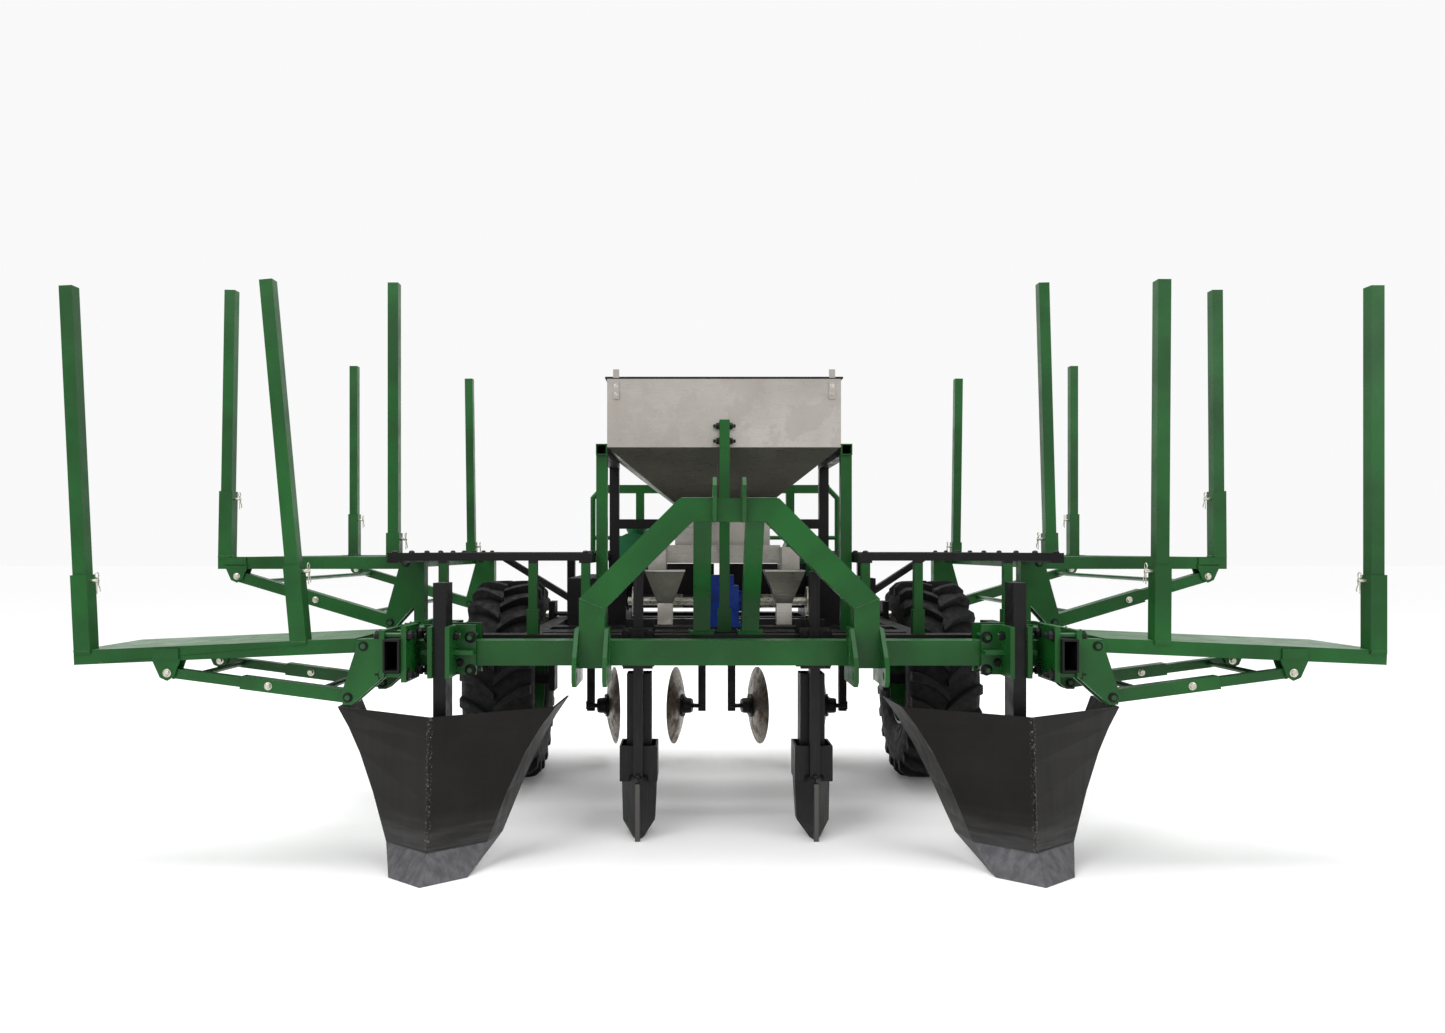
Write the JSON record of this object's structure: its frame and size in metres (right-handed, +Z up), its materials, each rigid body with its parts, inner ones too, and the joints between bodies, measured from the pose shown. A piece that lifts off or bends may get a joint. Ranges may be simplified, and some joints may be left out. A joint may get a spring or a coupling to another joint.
{
  "type": "tractor-mounted stalk planter",
  "caption": "Tractor-mounted row planter with ridging ploughs, furrow openers, fertiliser hopper, covering discs, support wheels and folding stalk racks.",
  "frame": {"origin": "centre of the bounding box on the ground plane, under the middle of the machine", "axes": "+X to the machine's right (its longest side), +Y to its rear, +Z up"},
  "size_m": [4.0533, 2.454, 1.9886],
  "materials": {
    "green_paint": "gloss enamel",
    "black_paint": "satin enamel",
    "ridger_steel": "dark worn steel",
    "stainless": "stained stainless sheet",
    "zinc": "zinc plated",
    "blue_paint": "gloss enamel",
    "disc_steel": "oxidised steel",
    "tyre_rubber": "matt rubber"
  },
  "bodies": {
    "frame": {"front_beam": "green_paint", "main_frame": "black_paint", "headstock": "green_paint", "ridger_clamp_right": "green_paint", "ridger_clamp_left": "green_paint", "ridger_shank_right": "black_paint", "ridger_shank_left": "black_paint", "ridger_body_right": "ridger_steel", "ridger_body_left": "ridger_steel", "opener_right": "black_paint", "opener_left": "black_paint", "lower_rack_bracket_right": "green_paint", "lower_rack_bracket_left": "green_paint", "upper_platform_right": "black_paint", "upper_platform_left": "black_paint", "hopper": "stainless", "hopper_stand": "green_paint", "metering_box": "stainless", "gearbox": "blue_paint", "hose_post": "green_paint", "wheel_leg_right": "black_paint", "wheel_leg_left": "black_paint", "disc_bracket": "black_paint", "planting_unit_right": "black_paint", "planting_unit_left": "black_paint", "guard_rail": "green_paint"},
    "hopper_lid": {"hopper_lid": "stainless"},
    "drive_shaft": {"drive_shaft": "zinc"},
    "lower_rack_right": {"lower_rack_right": "green_paint"},
    "lower_strut_tube_right": {"lower_strut_tube_right": "green_paint"},
    "lower_strut_bar_right": {"lower_strut_bar_right": "green_paint"},
    "lower_stake_outer_right": {"lower_stake_outer_right": "green_paint"},
    "lower_stake_inner_right": {"lower_stake_inner_right": "green_paint"},
    "upper_rack_right": {"upper_rack_right": "green_paint"},
    "upper_strut_tube_right": {"upper_strut_tube_right": "green_paint"},
    "upper_strut_bar_right": {"upper_strut_bar_right": "green_paint"},
    "upper_stake_front_outer_right": {"upper_stake_front_outer_right": "green_paint"},
    "upper_stake_front_inner_right": {"upper_stake_front_inner_right": "green_paint"},
    "upper_stake_rear_outer_right": {"upper_stake_rear_outer_right": "green_paint"},
    "upper_stake_rear_inner_right": {"upper_stake_rear_inner_right": "green_paint"},
    "wheel_right": {"tyre_right": "tyre_rubber", "rim_right": "green_paint"},
    "disc_inner_right": {"disc_inner_right": "disc_steel"},
    "disc_outer_right": {"disc_outer_right": "disc_steel"},
    "lower_rack_left": {"lower_rack_left": "green_paint"},
    "lower_strut_tube_left": {"lower_strut_tube_left": "green_paint"},
    "lower_strut_bar_left": {"lower_strut_bar_left": "green_paint"},
    "lower_stake_outer_left": {"lower_stake_outer_left": "green_paint"},
    "lower_stake_inner_left": {"lower_stake_inner_left": "green_paint"},
    "upper_rack_left": {"upper_rack_left": "green_paint"},
    "upper_strut_tube_left": {"upper_strut_tube_left": "green_paint"},
    "upper_strut_bar_left": {"upper_strut_bar_left": "green_paint"},
    "upper_stake_front_outer_left": {"upper_stake_front_outer_left": "green_paint"},
    "upper_stake_front_inner_left": {"upper_stake_front_inner_left": "green_paint"},
    "upper_stake_rear_outer_left": {"upper_stake_rear_outer_left": "green_paint"},
    "upper_stake_rear_inner_left": {"upper_stake_rear_inner_left": "green_paint"},
    "wheel_left": {"tyre_left": "tyre_rubber", "rim_left": "green_paint"},
    "disc_inner_left": {"disc_inner_left": "disc_steel"},
    "disc_outer_left": {"disc_outer_left": "disc_steel"}
  },
  "joints": [
    {"name": "lower_rack_right_fold", "type": "hinge", "parent": "frame", "child": "lower_rack_right", "pos_m": [1.115, -0.8395, 0.678], "axis": [0, -1, 0], "range_deg": [0, 60]},
    {"name": "lower_strut_swing_right", "type": "hinge", "parent": "frame", "child": "lower_strut_tube_right", "pos_m": [1.162, -0.8395, 0.522], "axis": [0, -1, 0], "range_deg": [0, 55.87]},
    {"name": "lower_strut_slide_right", "type": "slide", "parent": "lower_strut_tube_right", "child": "lower_strut_bar_right", "axis": [0.9915, 0, 0.1304], "range_m": [0, 0.1557]},
    {"name": "lower_stake_outer_right_lift", "type": "slide", "parent": "lower_rack_right", "child": "lower_stake_outer_right", "axis": [0, 0, 1], "range_m": [0, 0.15]},
    {"name": "lower_stake_inner_right_lift", "type": "slide", "parent": "lower_rack_right", "child": "lower_stake_inner_right", "axis": [0.007, 0, 1], "range_m": [0, 0.15]},
    {"name": "upper_rack_right_fold", "type": "hinge", "parent": "frame", "child": "upper_rack_right", "pos_m": [1.199, 0.4735, 0.921], "axis": [0, -1, 0], "range_deg": [0, 45]},
    {"name": "upper_strut_swing_right", "type": "hinge", "parent": "frame", "child": "upper_strut_tube_right", "pos_m": [1.258, 0.4735, 0.695], "axis": [0, -1, 0], "range_deg": [0, 40.02]},
    {"name": "upper_strut_slide_right", "type": "slide", "parent": "upper_strut_tube_right", "child": "upper_strut_bar_right", "axis": [0.9581, 0, 0.2866], "range_m": [0, 0.1672]},
    {"name": "upper_stake_front_outer_right_lift", "type": "slide", "parent": "upper_rack_right", "child": "upper_stake_front_outer_right", "axis": [-0.007, 0, 1], "range_m": [0, 0.15]},
    {"name": "upper_stake_front_inner_right_lift", "type": "slide", "parent": "upper_rack_right", "child": "upper_stake_front_inner_right", "axis": [-0.0279, 0, 0.9996], "range_m": [0, 0.15]},
    {"name": "upper_stake_rear_outer_right_lift", "type": "slide", "parent": "upper_rack_right", "child": "upper_stake_rear_outer_right", "axis": [0, 0, 1], "range_m": [0, 0.15]},
    {"name": "upper_stake_rear_inner_right_lift", "type": "slide", "parent": "upper_rack_right", "child": "upper_stake_rear_inner_right", "axis": [0.014, 0, 0.9999], "range_m": [0, 0.15]},
    {"name": "wheel_right_spin", "type": "hinge", "parent": "frame", "child": "wheel_right", "pos_m": [0.893, 0.28, 0.419], "axis": [1, 0, 0], "continuous": true},
    {"name": "disc_inner_right_spin", "type": "hinge", "parent": "frame", "child": "disc_inner_right", "pos_m": [0.19, 0.58, 0.257], "axis": [-0.9781, -0.2079, 0], "continuous": true},
    {"name": "disc_outer_right_spin", "type": "hinge", "parent": "frame", "child": "disc_outer_right", "pos_m": [0.47, 0.58, 0.257], "axis": [0.9781, -0.2079, 0], "continuous": true},
    {"name": "lower_rack_left_fold", "type": "hinge", "parent": "frame", "child": "lower_rack_left", "pos_m": [-1.115, -0.8395, 0.678], "axis": [0, 1, 0], "range_deg": [0, 60]},
    {"name": "lower_strut_swing_left", "type": "hinge", "parent": "frame", "child": "lower_strut_tube_left", "pos_m": [-1.162, -0.8395, 0.522], "axis": [0, 1, 0], "range_deg": [0, 55.87]},
    {"name": "lower_strut_slide_left", "type": "slide", "parent": "lower_strut_tube_left", "child": "lower_strut_bar_left", "axis": [-0.9915, 0, 0.1304], "range_m": [0, 0.1557]},
    {"name": "lower_stake_outer_left_lift", "type": "slide", "parent": "lower_rack_left", "child": "lower_stake_outer_left", "axis": [-0.048, 0, 0.9988], "range_m": [0, 0.15]},
    {"name": "lower_stake_inner_left_lift", "type": "slide", "parent": "lower_rack_left", "child": "lower_stake_inner_left", "axis": [-0.0906, 0, 0.9959], "range_m": [0, 0.15]},
    {"name": "upper_rack_left_fold", "type": "hinge", "parent": "frame", "child": "upper_rack_left", "pos_m": [-1.199, 0.4735, 0.921], "axis": [0, 1, 0], "range_deg": [0, 45]},
    {"name": "upper_strut_swing_left", "type": "hinge", "parent": "frame", "child": "upper_strut_tube_left", "pos_m": [-1.258, 0.4735, 0.695], "axis": [0, 1, 0], "range_deg": [0, 40.02]},
    {"name": "upper_strut_slide_left", "type": "slide", "parent": "upper_strut_tube_left", "child": "upper_strut_bar_left", "axis": [-0.9581, 0, 0.2866], "range_m": [0, 0.1672]},
    {"name": "upper_stake_front_outer_left_lift", "type": "slide", "parent": "upper_rack_left", "child": "upper_stake_front_outer_left", "axis": [0.0175, 0, 0.9998], "range_m": [0, 0.15]},
    {"name": "upper_stake_front_inner_left_lift", "type": "slide", "parent": "upper_rack_left", "child": "upper_stake_front_inner_left", "axis": [0, 0, 1], "range_m": [0, 0.15]},
    {"name": "upper_stake_rear_outer_left_lift", "type": "slide", "parent": "upper_rack_left", "child": "upper_stake_rear_outer_left", "axis": [0, 0, 1], "range_m": [0, 0.15]},
    {"name": "upper_stake_rear_inner_left_lift", "type": "slide", "parent": "upper_rack_left", "child": "upper_stake_rear_inner_left", "axis": [-0.014, 0, 0.9999], "range_m": [0, 0.15]},
    {"name": "wheel_left_spin", "type": "hinge", "parent": "frame", "child": "wheel_left", "pos_m": [-0.893, 0.28, 0.419], "axis": [1, 0, 0], "continuous": true},
    {"name": "disc_inner_left_spin", "type": "hinge", "parent": "frame", "child": "disc_inner_left", "pos_m": [-0.19, 0.58, 0.257], "axis": [0.9781, -0.2079, 0], "continuous": true},
    {"name": "disc_outer_left_spin", "type": "hinge", "parent": "frame", "child": "disc_outer_left", "pos_m": [-0.47, 0.58, 0.257], "axis": [-0.9781, -0.2079, 0], "continuous": true},
    {"name": "hopper_lid_open", "type": "hinge", "parent": "frame", "child": "hopper_lid", "pos_m": [0, -0.461, 1.592], "axis": [1, 0, 0], "range_deg": [0, 100]},
    {"name": "drive_shaft_spin", "type": "hinge", "parent": "frame", "child": "drive_shaft", "pos_m": [0, -0.232, 0.775], "axis": [1, 0, 0], "continuous": true}
  ],
  "couplings": [
    {"joint": "lower_strut_swing_right", "follows": "lower_rack_right_fold", "ratio": 0.92285},
    {"joint": "lower_strut_slide_right", "follows": "lower_rack_right_fold", "m_per_rad": 0.14774},
    {"joint": "upper_strut_swing_right", "follows": "upper_rack_right_fold", "ratio": 0.8782},
    {"joint": "upper_strut_slide_right", "follows": "upper_rack_right_fold", "m_per_rad": 0.21161},
    {"joint": "lower_strut_swing_left", "follows": "lower_rack_left_fold", "ratio": 0.92285},
    {"joint": "lower_strut_slide_left", "follows": "lower_rack_left_fold", "m_per_rad": 0.14774},
    {"joint": "upper_strut_swing_left", "follows": "upper_rack_left_fold", "ratio": 0.8782},
    {"joint": "upper_strut_slide_left", "follows": "upper_rack_left_fold", "m_per_rad": 0.21161}
  ]
}
